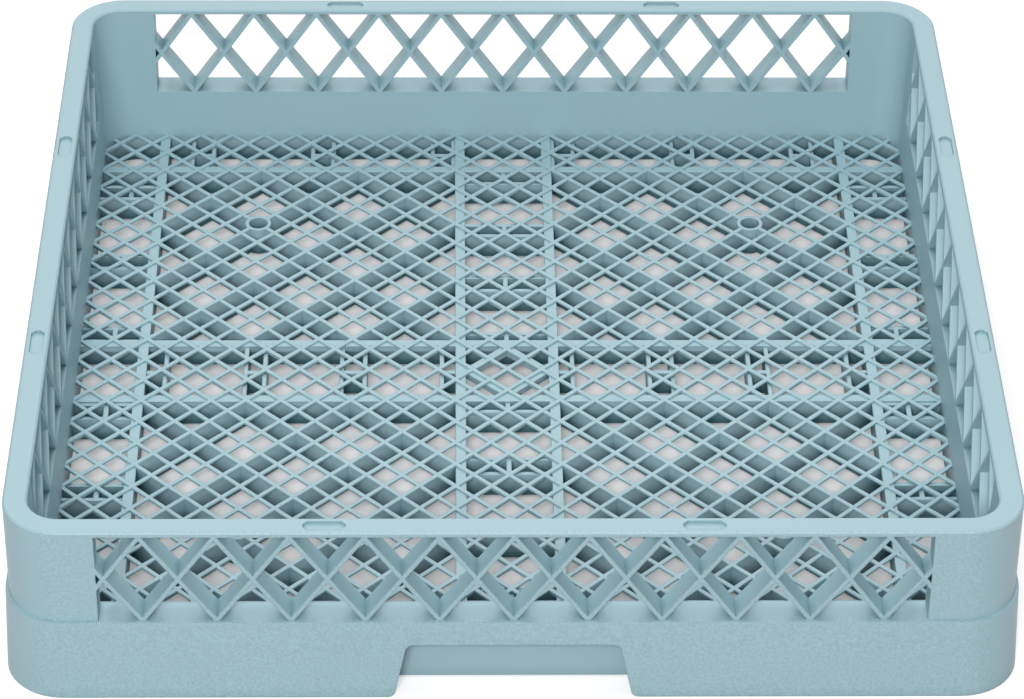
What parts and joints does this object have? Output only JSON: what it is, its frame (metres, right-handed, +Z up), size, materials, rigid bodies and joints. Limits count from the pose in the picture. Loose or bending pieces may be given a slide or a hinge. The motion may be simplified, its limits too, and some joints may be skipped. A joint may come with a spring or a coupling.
{
  "type": "dishwasher rack",
  "caption": "Square open dishwasher rack moulded in one piece, with a ribbed mesh floor, latticed side windows, hand notches and a flat stacking rim.",
  "frame": {"origin": "middle of the underside, on the surface that the rack stands on", "axes": "+Z up through the open top; X and Y along the sides, -Y is the side nearest the camera"},
  "size_m": [0.5, 0.5, 0.1],
  "materials": {
    "rack_plastic": "pale blue-green moulded polypropylene, fine matt grain"
  },
  "bodies": {
    "root": {"rack": "rack_plastic"}
  },
  "joints": []
}
